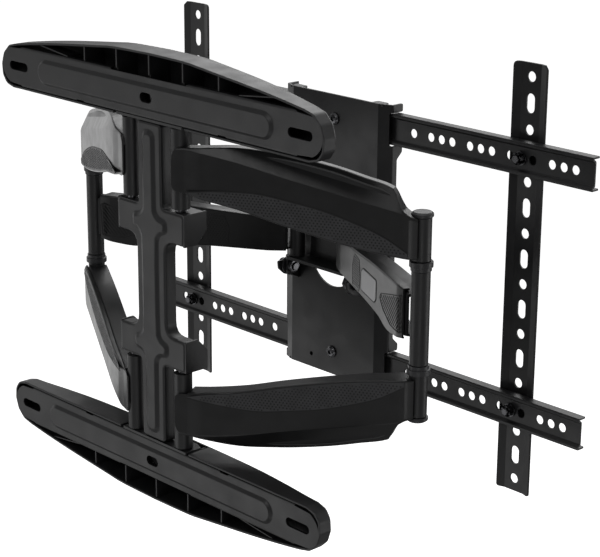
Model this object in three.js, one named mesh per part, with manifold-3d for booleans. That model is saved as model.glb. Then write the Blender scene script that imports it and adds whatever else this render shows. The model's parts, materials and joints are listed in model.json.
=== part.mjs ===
// Six-arm full-motion TV wall mount, in millimetres.
// +Z is up, the wall is the plane Y = 0, +Y points into the room, +X is to the right.
import * as THREE from 'three';
import { mergeVertices } from 'three/addons/utils/BufferGeometryUtils.js';
import Module from 'manifold-3d';

const wasm = await Module();
wasm.setup();

// ---- driving dimensions ----
const gap = 0.3;                 // play left between pieces that touch
const armLength = 230;           // pivot to pivot, the same for wall arms and TV arms
const foldAngle = THREE.MathUtils.degToRad(28);   // arm angle from the wall, as shown
const pivotX = 35.5;             // half the distance between the two vertical pivots
const wallPivotY = 11;           // wall pivots' distance from the wall
const headPivotY = wallPivotY + 2 * armLength * Math.sin(foldAngle);
const pinRadius = 5;
const boreRadius = 5.35;
const hubRadius = 8.8;

const sheet = 2.5;               // wall plate, bars and centre plate
const beadHeight = 2.5;          // stamped beads stand this far proud of the sheet
const columnHalfWidth = 19;
const columnHalfHeight = 160;
const columnDepth = 16;
const earReach = 48.6;
const earTopZ = 77;
const earBottomZ = 47;
const earDepth = 33;

const barZ = 180;                // height of both bars' screw slots
const barHalfHeight = 19;
const barStraight = 206;         // where the bars' rounded ends begin
const barEndReach = 25;
const slotX = 203.2;             // 16 inch stud spacing, 406.4 mm
const coverBow = 22;             // how far a cover bows past its bar at mid length
const coverEndDepth = 11;
const coverMidDepth = 32;
const coverWall = 2.2;

const channelFront = -10;        // arm channels, measured across the arm, wall side negative
const channelBack = 10;
const armSheet = 2.5;
const coverLip = 1;              // arm covers fold over the channel's edge as far as this

const elbowHubTop = 94;
const bushBottom = 44.5;
const bushTop = 53.5;
const bushRadius = 11;
const capRadius = 10.2;

const headPlateZ = 23.3;         // inner faces of the head bracket's two plates
const headPlate = 3.5;
const headHalfWidth = 46;
const headFront = 216;
const headBack = 236.5;
const headTongueBack = 241;      // narrow middle of the bracket, clear of the plate's window
const headTongueHalf = 28;
const tiltAxisY = 226;
const tiltAxisZ = -36;
const tiltBoltRadius = 4;

const plateHalfWidth = 76;
const plateHalfHeight = 150;
const plateFront = 244;
const railZ = 125;
const railHalfHeight = 16;
const railHalfLength = 322;
const railFront = 251;
const railDepth = 10;
const railSheet = 2;
const railWebSetback = 3;
const railHoleRadius = 4.1;
const railHolePitch = 13.6;
const stripX = 250 - railHolePitch;
const stripHalfHeight = 213;
const stripHalfWidth = 20;
const stripFront = railFront + railDepth + gap;
const stripHoleRadius = 4.8;
const stripHolePitch = 25;

// ---- materials ----
const look = (color, roughness, metalness) => new THREE.MeshStandardMaterial({ color, roughness, metalness });
const blackSteel = look(0x1c1c1e, 0.5, 0.6);
const blackPlastic = look(0x232326, 0.45, 0);
const armPlastic = look(0x2a2a2d, 0.35, 0);
const zincSteel = look(0x9a9a9c, 0.35, 1);

// ---- geometry helpers ----
const extrudeBasis = {
  x: new THREE.Matrix4().makeBasis(
    new THREE.Vector3(0, 1, 0), new THREE.Vector3(0, 0, 1), new THREE.Vector3(1, 0, 0)),
  y: new THREE.Matrix4().makeBasis(
    new THREE.Vector3(1, 0, 0), new THREE.Vector3(0, 0, 1), new THREE.Vector3(0, -1, 0)),
  z: new THREE.Matrix4(),
};

function toSolid(geometry) {
  const bare = geometry.clone();
  bare.deleteAttribute('normal');
  bare.deleteAttribute('uv');
  const merged = mergeVertices(bare, 1e-4);
  return new wasm.Manifold(new wasm.Mesh({
    numProp: 3,
    vertProperties: new Float32Array(merged.attributes.position.array),
    triVerts: new Uint32Array(merged.index.array),
  }));
}

// A closed outline pushed along an axis. Outlines are (y, z), (x, z) or (x, y) for x, y and z.
function prism(axis, from, to, outline, holes = []) {
  const vectors = (points) => points.map(([a, b]) => new THREE.Vector2(a, b));
  const shape = new THREE.Shape(vectors(outline));
  holes.forEach((hole) => shape.holes.push(new THREE.Path(vectors(hole))));
  const geometry = new THREE.ExtrudeGeometry(shape, { depth: to - from, bevelEnabled: false });
  geometry.translate(0, 0, axis === 'y' ? -to : from);
  geometry.applyMatrix4(extrudeBasis[axis]);
  return toSolid(geometry);
}

function block(x0, x1, y0, y1, z0, z1) {
  return prism('z', z0, z1, [[x0, y0], [x1, y0], [x1, y1], [x0, y1]]);
}

function circle(radius, a = 0, b = 0, sides = 12) {
  return Array.from({ length: sides }, (_, i) => {
    const turn = (2 * Math.PI * (i + 0.5)) / sides;
    return [a + radius * Math.cos(turn), b + radius * Math.sin(turn)];
  });
}

// A slot with round ends, long way along the first direction, or along the second if tall.
function slot(length, width, a, b, tall = false, sides = 4) {
  const radius = width / 2;
  const reach = length / 2 - radius;
  const points = [];
  for (const end of [1, -1]) {
    for (let i = 0; i <= sides; i += 1) {
      const turn = -Math.PI / 2 + (Math.PI * i) / sides;
      const along = end * (reach + radius * Math.cos(turn));
      const across = end * radius * Math.sin(turn);
      points.push(tall ? [a - across, b + along] : [a + along, b + across]);
    }
  }
  return points;
}

// A turned piece about a vertical axis, from [radius, z] points that start and end on the axis.
function turned(profile, x, y, sides = 14) {
  const points = profile.map(([radius, z]) => new THREE.Vector2(radius, z));
  const geometry = new THREE.LatheGeometry(points, sides);
  geometry.rotateX(Math.PI / 2);
  geometry.translate(x, y, 0);
  return toSolid(geometry);
}

// Stretches a skin between outlines of [x, y, z] points with equal counts, convex end to end.
function loft(sections) {
  const count = sections[0].length;
  const position = new Float32Array(sections.flat(2));
  const index = [];
  for (let s = 0; s + 1 < sections.length; s += 1) {
    for (let i = 0; i < count; i += 1) {
      const a = s * count + i;
      const b = s * count + ((i + 1) % count);
      index.push(a, b, b + count, a, b + count, a + count);
    }
  }
  const last = (sections.length - 1) * count;
  for (let i = 1; i + 1 < count; i += 1) {
    index.push(0, i + 1, i, last, last + i, last + i + 1);
  }
  const triVerts = new Uint32Array(index);
  return new wasm.Manifold(new wasm.Mesh({ numProp: 3, vertProperties: position, triVerts }));
}

// Mirrors a solid left for right (side -1) and top for bottom (flip -1).
function mirrored(solid, side, flip) {
  const { vertProperties, triVerts } = solid.getMesh();
  const signs = [side, 1, flip];
  const index = Uint32Array.from(triVerts);
  if (side * flip < 0) {
    for (let i = 0; i < index.length; i += 3) {
      [index[i], index[i + 1]] = [index[i + 1], index[i]];
    }
  }
  return new wasm.Manifold(new wasm.Mesh({
    numProp: 3,
    vertProperties: Float32Array.from(vertProperties, (value, i) => value * signs[i % 3]),
    triVerts: index,
  }));
}

// A folded sheet's section from its right half: front from the rim inwards, back outwards.
function foldedSection(front, back) {
  const left = (points) => points.map(([a, b]) => [-a, b]).reverse();
  return [...front, ...left(front), ...left(back), ...back];
}

const join = (...solids) => solids.reduce((all, one) => all.add(one));
const cut = (body, ...tools) => tools.reduce((left, tool) => left.subtract(tool), body);

const post = (x, radius, z0, z1) => prism('z', z0, z1, circle(radius, x, 0, 16));
const bore = (x, y, z0, z1, radius = boreRadius) => prism('z', z0, z1, circle(radius, x, y));

function addPart(parent, name, solid, material, side = 1, flip = 1) {
  const { vertProperties, triVerts } = mirrored(solid, side, flip).getMesh();
  const geometry = new THREE.BufferGeometry();
  geometry.setAttribute('position', new THREE.BufferAttribute(vertProperties, 3));
  geometry.setIndex(new THREE.BufferAttribute(triVerts, 1));
  geometry.computeVertexNormals();
  const mesh = new THREE.Mesh(geometry, material);
  mesh.name = name;
  parent.add(mesh);
}

const mount = new THREE.Group();

// ---- wall plate: stamped column ----
// The column's section is a hat with a flat-topped bead that touches the wall.
const columnSection = foldedSection(
  [[columnHalfWidth, columnDepth], [columnHalfWidth, beadHeight], [12.5, beadHeight], [9.5, 0]],
  [[8.5, sheet], [11.5, beadHeight + sheet], [columnHalfWidth - sheet, beadHeight + sheet],
    [columnHalfWidth - sheet, columnDepth]]);

// One quarter's ear, end plate and the tab behind the bar, for the upper right corner.
function columnQuarter() {
  const earFront = [
    [16, earTopZ], [earReach, earTopZ], [earReach, earBottomZ], [33, earBottomZ], [27, 44],
    [23, 39], [21, 32], [columnHalfWidth, 20], [16, 20]];
  const earSide = [
    [beadHeight, earTopZ], [earDepth, earTopZ], [earDepth, 60], [22, earBottomZ],
    [beadHeight, earBottomZ]];
  return join(
    prism('y', beadHeight, beadHeight + sheet, earFront),
    prism('x', earReach - sheet, earReach, earSide),
    block(14, earReach, beadHeight, 27, earTopZ - 3, earTopZ),
    block(0, 48, beadHeight, 26, columnHalfHeight - 3, columnHalfHeight),
    block(0, 42, beadHeight + sheet + gap, beadHeight + 2 * sheet + gap, columnHalfHeight - 3, 191),
  );
}

function wallColumn() {
  const quarter = cut(columnQuarter(), bore(pivotX, wallPivotY, 70, 170));
  let column = prism('z', -columnHalfHeight, columnHalfHeight, columnSection);
  for (const side of [1, -1]) {
    for (const flip of [1, -1]) {
      column = column.add(mirrored(quarter, side, flip));
    }
  }
  return cut(column, ...[1, -1].map((flip) => prism('y', 0, 12, slot(22, 12, 0, flip * barZ))));
}

// ---- wall plate: bars and their covers, drawn about the bar's centre line, outward up ----
const endArc = (reachX, reachZ, from, to, steps) => Array.from({ length: steps + 1 }, (_, i) => {
  const turn = THREE.MathUtils.degToRad(from + ((to - from) * i) / steps);
  return [barStraight + reachX * Math.cos(turn), reachZ * Math.sin(turn)];
});

const bothEnds = (points) => [...points, ...points.map(([x, z]) => [-x, z]).reverse()];
const lifted = (points) => points.map(([x, z]) => [x, z + barZ]);

function barOutline(grow = 0) {
  return lifted(bothEnds(endArc(barEndReach + grow, barHalfHeight + grow, 90, -90, 8)));
}

function wallBar() {
  const holes = [slot(30, 8.5, slotX, barZ), slot(30, 8.5, -slotX, barZ), slot(16, 8, 0, barZ)];
  const back = beadHeight + sheet;
  const flange = (x0, x1, outer) => block(
    x0, x1, beadHeight, back + 4.5,
    outer ? barZ + barHalfHeight - sheet : barZ - barHalfHeight,
    outer ? barZ + barHalfHeight : barZ - barHalfHeight + sheet);
  return cut(
    join(
      prism('y', beadHeight, back, barOutline()),
      prism('y', 0, back, slot(322, 19, 0, barZ)),
      flange(-197, -110, true), flange(-96, 96, true), flange(110, 197, true),
      flange(-190, -54, false), flange(54, 190, false),
    ),
    prism('y', sheet, back + 1, slot(317, 14, 0, barZ)),
    ...holes.map((hole) => prism('y', -1, 12, hole)),
  );
}

const bowPart = (x, inset) => barHalfHeight + 1.5 - inset + coverBow * (1 - (x / barStraight) ** 2);

function coverOutline(inset) {
  const bow = [];
  for (let x = -barStraight + 20; x < barStraight; x += 31) {
    bow.push([x, bowPart(x, inset)]);
  }
  const ends = endArc(barEndReach + 2.6 - inset, barHalfHeight + 2.4 - inset, 85, -90, 8);
  const leftEnd = ends.map(([x, z]) => [-x, z]).reverse();
  return lifted([...leftEnd, ...bow, ...ends]);
}

function coverDepthProfile(inset) {
  const reach = barStraight + barEndReach + 10;
  const back = [];
  for (let i = 0; i <= 14; i += 1) {
    const x = reach * (i / 7 - 1);
    const fall = Math.abs(x / reach) ** 3;
    back.push([x, coverMidDepth - inset - (coverMidDepth - coverEndDepth) * fall]);
  }
  return [[reach, -5], ...back.reverse(), [-reach, -5]];
}

function barCover() {
  const low = barZ - 60;
  const high = barZ + 60;
  const shell = prism('y', beadHeight, 40, coverOutline(0))
    .intersect(prism('z', low, high, coverDepthProfile(0)));
  const hollow = prism('y', 0, 40, coverOutline(coverWall))
    .intersect(prism('z', low, high, coverDepthProfile(coverWall)));
  const ribs = [-97, -48, 0, 48, 97].map((x) => block(x - 0.9, x + 0.9, beadHeight, 40, low, high));
  for (const side of [1, -1]) {
    ribs.push(prism('y', beadHeight, 40, lifted([
      [side * 112, 19], [side * 114, 17.5], [side * 168, 30], [side * 166, 31.5]])));
  }
  return cut(
    join(cut(shell, hollow), join(...ribs).intersect(shell)),
    prism('y', -1, 10, barOutline(gap)),
    block(-53, 53, 0, 28, barZ - 26, barZ - barHalfHeight + 4),
    block(-44, 44, 0, 9, barZ - 26, barZ + 13),
  );
}

// ---- pivots ----
const wallPin = () => turned([
  [0, 71.5], [5.7, 71.5], [5.7, earTopZ - 3 - gap], [pinRadius, earTopZ - 3 - gap],
  [pinRadius, 163.5], [0, 163.5],
], pivotX, wallPivotY);

// ---- arms, drawn along +X from the pivot nearer the middle, wall side towards -Y ----
// Channel edges as [x, bottom, top].
const wallArmEdges = [
  [8, 95, 137], [50, 90, 140.5], [60, 84, 141], [100, 74.5, 138], [145, 64.5, 131],
  [178, 58, 122.5], [203, 55.5, 115], [209, 54.8, 100], [217, 54.2, 92.5], [226, 54.2, 91]];
const tvArmEdges = [
  [8, -16, 17], [80, -16, 19], [150, -19.5, 22], [180, -25, 22.5], [214, -22, 23], [222, -20, 20]];
// Cover edges as [x, bottom, foot of the bevel, top, front].
const wallCoverEdges = [
  [12, 97, 139.5, 141, -9.5], [25, 94, 138, 142, -12.5], [60, 88, 131.5, 144.5, -14],
  [100, 78, 122.5, 141.5, -14], [145, 68, 113, 134.5, -14], [178, 62, 106, 126.5, -14],
  [206, 58.5, 100, 118.5, -14], [212, 57.5, 97, 104, -14], [218, 57, 93, 96, -14],
  [227, 57, 91.5, 94, -13.5]];
const tvCoverEdges = [
  [13, -17.5, 17.5, 18.5, -13.5], [80, -18.5, 19.5, 21, -14], [150, -22, 23, 24.5, -14],
  [180, -28, 23.5, 25, -14], [216, -24, 24, 25.5, -14]];

// A channel with its web on the wall side, open on the TV side.
function armChannel(edges) {
  const outline = (inset) => [
    ...edges.map(([x, bottom]) => [x, bottom + inset]),
    ...edges.map(([x, , top]) => [x, top - inset]).reverse()];
  const inside = outline(armSheet).map(([x, z]) => [Math.min(Math.max(x, 16), 214), z]);
  return cut(
    prism('y', channelFront, channelBack, outline(0)),
    prism('y', channelFront + armSheet, channelBack + 1, inside),
  );
}

// A shell that lies on the web and folds over the channel's top edge.
function armCover(edges, channelEdges) {
  const shell = loft(edges.map(([x, bottom, foot, top, front]) => [
    [x, coverLip, bottom], [x, coverLip, top], [x, Math.min(front + (top - foot) * 0.45, -1), top],
    [x, front, foot], [x, front, bottom]]));
  const wide = channelEdges.map(([x, bottom, top], i) => {
    const reach = [20, 0, -40][Math.sign(i) + (i + 1 === channelEdges.length ? 1 : 0)];
    return [x - reach, bottom - 8, top + gap];
  });
  const channel = prism('y', channelFront - gap, 40, [
    ...wide.map(([x, bottom]) => [x, bottom]),
    ...wide.map(([x, , top]) => [x, top]).reverse()]);
  return cut(shell, channel);
}

function wallArm() {
  return cut(
    join(
      armChannel(wallArmEdges),
      post(0, hubRadius, 80.5, 156.5),
      post(armLength, hubRadius, bushTop + gap, elbowHubTop),
    ),
    bore(0, 0, 70, 170),
    bore(armLength, 0, 40, 120),
  );
}

function wallArmCover() {
  return cut(
    armCover(wallCoverEdges, wallArmEdges),
    post(0, hubRadius + gap, 70, 170),
    post(armLength, hubRadius + gap, 40, 98),
    post(armLength, capRadius + 0.8, elbowHubTop - 0.5, 110),
  );
}

function tvArm() {
  return cut(
    join(
      armChannel(tvArmEdges),
      post(0, hubRadius, -headPlateZ + gap, headPlateZ - gap),
      post(armLength, hubRadius, -bushBottom + gap, bushBottom - gap),
    ),
    bore(0, 0, -60, 60),
    bore(armLength, 0, -60, 60),
  );
}

function tvArmCover() {
  return cut(
    armCover(tvCoverEdges, tvArmEdges),
    post(0, hubRadius + gap, -60, 60),
    post(armLength, hubRadius + gap, -60, 60),
  );
}

// ---- elbow ----
const elbowPin = () => post(0, pinRadius, -96.6, 96.6);
const elbowBush = () => cut(post(0, bushRadius, bushBottom, bushTop), bore(0, 0, 40, 60));
const elbowCap = () => turned([
  [0, 97], [boreRadius, 97], [boreRadius, elbowHubTop + gap], [capRadius, elbowHubTop + gap],
  [capRadius, 97.5], [8.5, 99.5], [0, 99.5],
], 0, 0);

// ---- head ----
function headBracket() {
  const half = headPlateZ + headPlate;
  const plan = [
    [headHalfWidth, headFront + 4], [headHalfWidth, headBack], [headTongueHalf + 3, headBack],
    [headTongueHalf, headTongueBack], [-headTongueHalf, headTongueBack],
    [-headTongueHalf - 3, headBack], [-headHalfWidth, headBack], [-headHalfWidth, headFront + 4],
    [-headHalfWidth + 4, headFront], [headHalfWidth - 4, headFront]];
  const ear = [
    [headFront + 4, -half + 1], [headBack, -half + 1], [headBack, tiltAxisZ - 5],
    [tiltAxisY + 5, tiltAxisZ - 10], [tiltAxisY - 5, tiltAxisZ - 10], [headFront + 4, tiltAxisZ - 5]];
  let bracket = cut(
    prism('z', -half, half, plan),
    block(-60, 60, headFront - 1, headTongueBack - 3, -headPlateZ, headPlateZ),
  );
  for (const side of [1, -1]) {
    bracket = bracket
      .add(prism('x', side * headHalfWidth - (side + 1) * 1.5, side * headHalfWidth - (side - 1) * 1.5, ear))
      .subtract(bore(side * pivotX, headPivotY, -60, 60));
  }
  return cut(bracket, xRod(-60, 60, tiltBoltRadius + gap, 12));
}

const headPin = () => turned([
  [0, -28.2], [pinRadius, -28.2], [pinRadius, headPlateZ + headPlate + gap],
  [8, headPlateZ + headPlate + gap], [8, 31], [0, 31],
], pivotX, headPivotY);

const xRod = (from, to, radius, sides = 12, hole = 0) => prism(
  'x', from, to, circle(radius, tiltAxisY, tiltAxisZ, sides),
  hole ? [circle(hole, tiltAxisY, tiltAxisZ, 12).reverse()] : []);

const tiltPad = () => xRod(headHalfWidth + gap, 49, 9.5, 12, tiltBoltRadius + gap);
const tiltBolt = () => join(xRod(36, 58, tiltBoltRadius, 12), xRod(52 + gap, 58, 7, 12));
const tiltNut = () => xRod(38, headHalfWidth - 3 - gap, 7, 6, tiltBoltRadius + gap);

function tiltLug() {
  const foot = plateFront - gap;
  const side = [
    [213, -30.5], [foot, -30.5], [foot, -54], [234, -50], [222, -46], [214, -39]];
  return cut(
    join(
      prism('x', 49 + gap, 52, side),
      block(49 + gap, 62, foot - sheet, foot, -54, -30.5),
    ),
    xRod(40, 60, tiltBoltRadius + gap, 12),
  );
}

// ---- TV frame ----
function centrePlate() {
  const flangeBack = plateFront + 13;
  const step = 5.5;
  const section = foldedSection(
    [[plateHalfWidth, flangeBack], [plateHalfWidth, plateFront + step], [61, plateFront]],
    [[60.2, plateFront + sheet], [plateHalfWidth - sheet, plateFront + step + 1.7],
      [plateHalfWidth - sheet, flangeBack]]);
  const railBand = railHalfHeight + 0.5;
  const wings = [];
  for (const flip of [1, -1]) {
    const wide = [
      [plateFront + 6, flip * 92], [flangeBack - 1, flip * 92], [264, flip * 100],
      [264, flip * plateHalfHeight], [plateFront + 6, flip * plateHalfHeight]];
    for (const x of [-plateHalfWidth, plateHalfWidth - sheet]) {
      wings.push(prism('x', x, x + sheet, wide));
    }
    for (const x of [-66, 50]) {
      const z = flip * (plateHalfHeight - sheet / 2);
      wings.push(block(x, x + 16, plateFront + 1, flangeBack, z - sheet / 2, z + sheet / 2));
    }
  }
  const plate = join(prism('z', -plateHalfHeight, plateHalfHeight, section), ...wings);
  const through = (outline) => prism('y', plateFront - 5, plateFront + 20, outline);
  return cut(
    plate,
    through(slot(106, 66, 0, 0, true, 9)),
    through(circle(2.2, -31, -135, 8)),
    ...[1, -1].flatMap((flip) => [
      through(circle(3.4, 0, flip * railZ, 12)),
      block(-90, 90, railFront - gap, 270, flip * railZ - railBand, flip * railZ + railBand),
    ]),
  );
}

const railHoleXs = () => {
  const places = [100];
  for (const vesa of [150, 200, 250, 300]) {
    places.push(vesa, vesa - railHolePitch, vesa - 2 * railHolePitch);
  }
  return [0, ...places, ...places.map((x) => -x)];
};

function rail() {
  const top = railHalfHeight;
  const web = railFront + railWebSetback;
  const back = railFront + railDepth;
  const section = foldedSection(
    [[top, back], [top, railFront], [top - 3.5, railFront], [top - 5, web]],
    [[top - 4.2, web + railSheet], [top - 2.7, railFront + railSheet],
      [top - railSheet, railFront + railSheet], [top - railSheet, back]]);
  return cut(
    prism('x', -railHalfLength, railHalfLength, section.map(([z, y]) => [y, z + railZ])),
    ...railHoleXs().map((x) => prism(
      'y', web - 1, web + railSheet + 1, circle(x === 0 ? 3.4 : railHoleRadius, x, railZ, 8))),
  );
}

function strip() {
  const web = stripFront + 2.7;
  const section = [
    [-stripHalfWidth, stripFront], [-12, web], [12, web], [stripHalfWidth, stripFront],
    [stripHalfWidth, stripFront + 2.6], [12.4, web + sheet], [-12.4, web + sheet],
    [-stripHalfWidth, stripFront + 2.6]].map(([x, y]) => [x + stripX, y]);
  const holes = [];
  for (let row = -8; row <= 8; row += 1) {
    const z = row * stripHolePitch;
    const isSlot = row % 2 !== 0 && Math.abs(row) !== 5;
    holes.push(isSlot
      ? slot(18.5, 2 * stripHoleRadius, stripX, z, true)
      : circle(stripHoleRadius, stripX, z, 8));
  }
  return cut(
    prism('z', -stripHalfHeight, stripHalfHeight, section),
    ...holes.map((hole) => prism('y', stripFront - 1, web + sheet + 1, hole)),
  );
}

const yRod = (x, z, from, to, radius, sides = 12, hole = 0) => prism(
  'y', from, to, circle(radius, x, z, sides), hole ? [circle(hole, x, z, 12).reverse()] : []);

const railBolt = () => join(
  yRod(stripX, railZ, railFront - 6, stripFront + 6, 3.6),
  yRod(stripX, railZ, stripFront + 5.2 + gap, stripFront + 7.5, 7.5));
const railNut = () => join(
  yRod(stripX, railZ, railFront - 4, railFront + 1.5, 6.6, 6, 3.6 + gap),
  yRod(stripX, railZ, railFront + 1, railFront + railWebSetback - gap, 8.2, 12, 3.6 + gap));
const plateScrew = () => join(
  yRod(0, railZ, plateFront - 3.5, plateFront - gap, 6.5),
  yRod(0, railZ, plateFront - 1, railFront + 8, 3));

// ---- assembly ----
const elbowX = pivotX + armLength * Math.cos(foldAngle);
const elbowY = wallPivotY + armLength * Math.sin(foldAngle);

addPart(mount, 'wall_column', wallColumn(), blackSteel);
for (const [flip, level] of [[1, 'upper'], [-1, 'lower']]) {
  addPart(mount, `${level}_wall_bar`, wallBar(), blackSteel, 1, flip);
  addPart(mount, `${level}_bar_cover`, barCover(), blackPlastic, 1, flip);
}

for (const [side, hand] of [[1, 'right'], [-1, 'left']]) {
  for (const [flip, level] of [[1, 'upper'], [-1, 'lower']]) {
    addPart(mount, `${level}_wall_pin_${hand}`, wallPin(), zincSteel, side, flip);
  }

  const wallArms = new THREE.Group();
  wallArms.position.set(side * pivotX, wallPivotY, 0);
  wallArms.rotation.z = side * foldAngle;
  mount.add(wallArms);
  for (const [flip, level] of [[1, 'upper'], [-1, 'lower']]) {
    addPart(wallArms, `${level}_wall_arm_${hand}`, wallArm(), blackSteel, side, flip);
    addPart(wallArms, `${level}_arm_cover_${hand}`, wallArmCover(), armPlastic, side, flip);
  }

  const elbow = new THREE.Group();
  elbow.position.set(side * elbowX, elbowY, 0);
  mount.add(elbow);
  addPart(elbow, `elbow_pin_${hand}`, elbowPin(), zincSteel);
  for (const [flip, level] of [[1, 'upper'], [-1, 'lower']]) {
    addPart(elbow, `${level}_elbow_bush_${hand}`, elbowBush(), blackPlastic, side, flip);
    addPart(elbow, `${level}_elbow_cap_${hand}`, elbowCap(), blackPlastic, side, flip);
  }

  const tvArmGroup = new THREE.Group();
  tvArmGroup.position.set(side * pivotX, headPivotY, 0);
  tvArmGroup.rotation.z = -side * foldAngle;
  mount.add(tvArmGroup);
  addPart(tvArmGroup, `tv_arm_${hand}`, tvArm(), blackSteel, side);
  addPart(tvArmGroup, `tv_arm_cover_${hand}`, tvArmCover(), armPlastic, side);

  addPart(mount, `head_pin_${hand}`, headPin(), zincSteel, side);
  addPart(mount, `tilt_pad_${hand}`, tiltPad(), blackPlastic, side);
  addPart(mount, `tilt_lug_${hand}`, tiltLug(), blackSteel, side);
  addPart(mount, `tilt_bolt_${hand}`, tiltBolt(), zincSteel, side);
  addPart(mount, `tilt_nut_${hand}`, tiltNut(), zincSteel, side);
  addPart(mount, `strip_${hand}`, strip(), blackSteel, side);
  for (const [flip, level] of [[1, 'top'], [-1, 'bottom']]) {
    addPart(mount, `${level}_rail_bolt_${hand}`, railBolt(), zincSteel, side, flip);
    addPart(mount, `${level}_rail_nut_${hand}`, railNut(), zincSteel, side, flip);
  }
}

addPart(mount, 'head_bracket', headBracket(), blackSteel);
addPart(mount, 'centre_plate', centrePlate(), blackSteel);
for (const [flip, level] of [[1, 'top'], [-1, 'bottom']]) {
  addPart(mount, `${level}_rail`, rail(), blackSteel, 1, flip);
  addPart(mount, `${level}_plate_screw`, plateScrew(), zincSteel, 1, flip);
}

export default mount;
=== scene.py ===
import json
import math

import bmesh
import bpy
from mathutils import Matrix, Vector
from mathutils.geometry import delaunay_2d_cdt

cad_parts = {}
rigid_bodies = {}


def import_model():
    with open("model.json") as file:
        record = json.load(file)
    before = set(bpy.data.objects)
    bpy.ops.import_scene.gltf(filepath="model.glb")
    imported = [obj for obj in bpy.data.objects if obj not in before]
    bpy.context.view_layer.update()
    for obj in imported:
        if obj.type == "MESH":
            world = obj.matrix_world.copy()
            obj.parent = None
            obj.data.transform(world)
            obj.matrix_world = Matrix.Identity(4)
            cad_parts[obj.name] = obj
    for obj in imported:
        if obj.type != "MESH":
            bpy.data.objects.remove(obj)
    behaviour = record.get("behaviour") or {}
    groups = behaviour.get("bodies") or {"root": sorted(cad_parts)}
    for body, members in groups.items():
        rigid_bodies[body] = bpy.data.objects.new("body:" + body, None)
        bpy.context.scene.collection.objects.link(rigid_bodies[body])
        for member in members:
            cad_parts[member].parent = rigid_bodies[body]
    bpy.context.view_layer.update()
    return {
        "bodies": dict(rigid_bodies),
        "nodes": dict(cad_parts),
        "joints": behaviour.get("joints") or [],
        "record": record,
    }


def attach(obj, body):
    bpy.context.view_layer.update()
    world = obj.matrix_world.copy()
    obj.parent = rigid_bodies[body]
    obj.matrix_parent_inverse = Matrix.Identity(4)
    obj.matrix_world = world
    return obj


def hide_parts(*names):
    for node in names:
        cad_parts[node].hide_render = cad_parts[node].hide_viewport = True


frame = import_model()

mm = 0.001

# Sizes below are in millimetres. x runs along the rails, y out of the wall, z up.
linkage = {
    "armLength": 230.0,
    "foldAngle": 28.0,
    "pivotX": 35.5,
    "wallPivotY": 11.0,
    "boreRadius": 5.4,
    "hubRadius": 8.8,
}
foldTurn = math.radians(linkage["foldAngle"])
headPivotY = linkage["wallPivotY"] + 2 * linkage["armLength"] * math.sin(foldTurn)
elbowX = linkage["pivotX"] + linkage["armLength"] * math.cos(foldTurn)
elbowY = linkage["wallPivotY"] + linkage["armLength"] * math.sin(foldTurn)


# Outlines and paths, as lists of (a, b)

def rounded(corners, radius, steps=4, closed=True):
    count = len(corners)
    radii = radius if isinstance(radius, (list, tuple)) else [radius] * count
    result = []
    for i, corner in enumerate(corners):
        here = Vector(corner)
        if not closed and i in (0, count - 1):
            result.append(tuple(here))
            continue
        before = Vector(corners[i - 1]) - here
        after = Vector(corners[(i + 1) % count]) - here
        turn = before.angle(after, math.pi)
        if radii[i] <= 0 or turn > math.pi - 0.02:
            result.append(tuple(here))
            continue
        reach = min(radii[i] / math.tan(turn / 2), before.length * 0.48, after.length * 0.48)
        start = here + before.normalized() * reach
        end = here + after.normalized() * reach
        for step in range(steps + 1):
            t = step / steps
            result.append(tuple(start * (1 - t) ** 2 + here * 2 * t * (1 - t) + end * t ** 2))
    return result


def ring(radius, a=0.0, b=0.0, sides=24):
    return [(a + radius * math.cos(2 * math.pi * (i + 0.5) / sides),
             b + radius * math.sin(2 * math.pi * (i + 0.5) / sides)) for i in range(sides)]


def longSlot(length, width, a=0.0, b=0.0, tall=False, steps=10):
    radius = width / 2
    points = []
    for end in (1, -1):
        for i in range(steps + 1):
            turn = -math.pi / 2 + math.pi * i / steps
            along = end * (length / 2 - radius + radius * math.cos(turn))
            across = end * radius * math.sin(turn)
            points.append((a - across, b + along) if tall else (a + along, b + across))
    return points


def mirroredPath(points):
    return points + [(-a, b) for a, b in reversed(points) if abs(a) > 1e-6]


def hexagon(radius, a=0.0, b=0.0):
    turns = [math.radians(60 * k) for k in range(6)]
    return [(a + radius * math.cos(turn), b + radius * math.sin(turn)) for turn in turns]


def eased(t):
    return t * t * (3 - 2 * t)


def area(loop):
    return sum(p[0] * q[1] - q[0] * p[1] for p, q in zip(loop, loop[1:] + loop[:1])) / 2


def inside(point, loop):
    hit = False
    for p, q in zip(loop, loop[1:] + loop[:1]):
        if (p[1] > point[1]) != (q[1] > point[1]):
            if point[0] < (q[0] - p[0]) * (point[1] - p[1]) / (q[1] - p[1]) + p[0]:
                hit = not hit
    return hit


def mitres(loop, closed=True):
    # Left-hand normals at each corner, long enough to keep an offset even.
    normals = []
    count = len(loop)
    for i, here in enumerate(loop):
        here = Vector(here)
        edges = []
        if closed or i > 0:
            edges.append((here - Vector(loop[i - 1])))
        if closed or i < count - 1:
            edges.append((Vector(loop[(i + 1) % count]) - here))
        sides = [Vector((-e.y, e.x)).normalized() for e in edges if e.length > 1e-9]
        total = sum(sides, Vector((0, 0)))
        total = total.normalized() if total.length > 1e-6 else sides[0]
        normals.append(total / max(total.dot(sides[0]), 0.4))
    return normals


def offset(loop, inset):
    turned = list(loop) if area(loop) > 0 else list(reversed(loop))
    return [(p[0] + n.x * inset, p[1] + n.y * inset) for p, n in zip(turned, mitres(turned))]


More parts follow.
